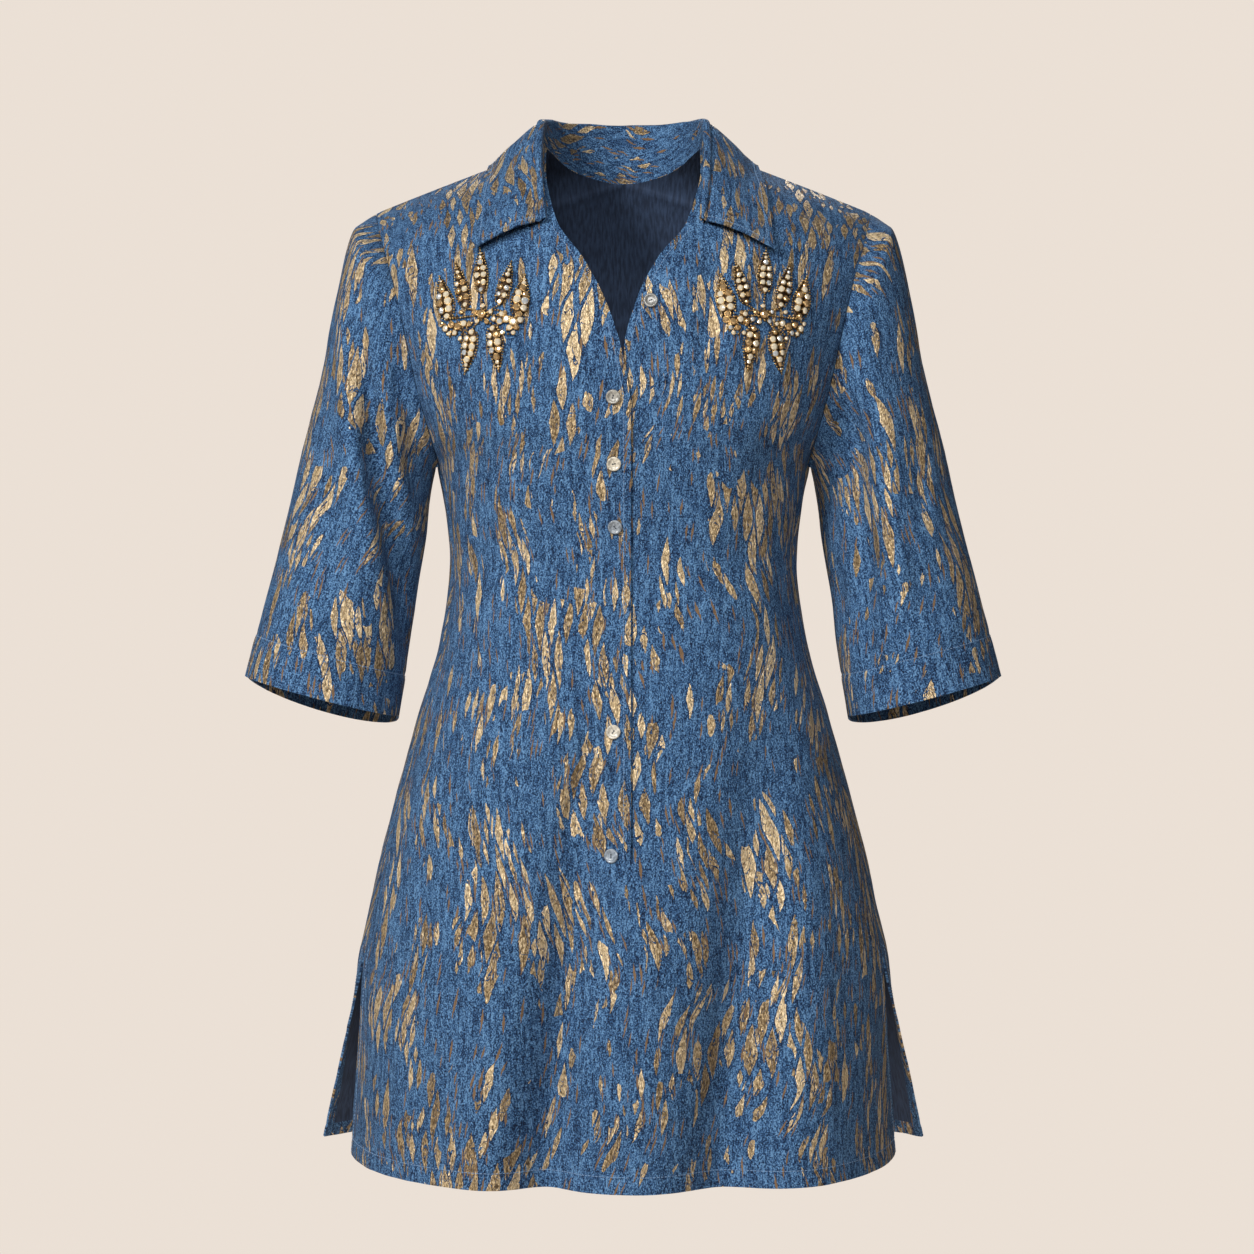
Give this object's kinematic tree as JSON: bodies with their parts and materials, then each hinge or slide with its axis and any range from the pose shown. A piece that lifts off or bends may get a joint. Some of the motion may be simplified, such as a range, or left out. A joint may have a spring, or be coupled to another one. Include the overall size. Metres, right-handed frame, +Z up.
{
  "type": "women's tunic",
  "caption": "Women's tunic with turned-down collar, half placket, three-quarter sleeves and side vents, in blue jacquard with gilt flecks and beaded leaf sprays.",
  "frame": {"origin": "midway between the two points where the shoulder seams meet the neck", "axes": "+Z up, -Y the way the front faces, +X towards the wearer's left"},
  "size_m": [0.612, 0.3274, 0.8558],
  "materials": {
    "jacquard_cloth": "crinkled woven jacquard with gilt flecks",
    "pearl_button": "pearly",
    "gilt_beads": "polished gilt beads and clear stones"
  },
  "bodies": {
    "root": {"front": "jacquard_cloth", "back": "jacquard_cloth", "sleeve_right": "jacquard_cloth", "sleeve_left": "jacquard_cloth", "collar": "jacquard_cloth", "button_band": "jacquard_cloth", "button_neck": "pearl_button", "button_1": "pearl_button", "button_2": "pearl_button", "button_3": "pearl_button", "button_4": "pearl_button", "button_5": "pearl_button", "spray_right": "gilt_beads", "spray_left": "gilt_beads"}
  },
  "joints": []
}
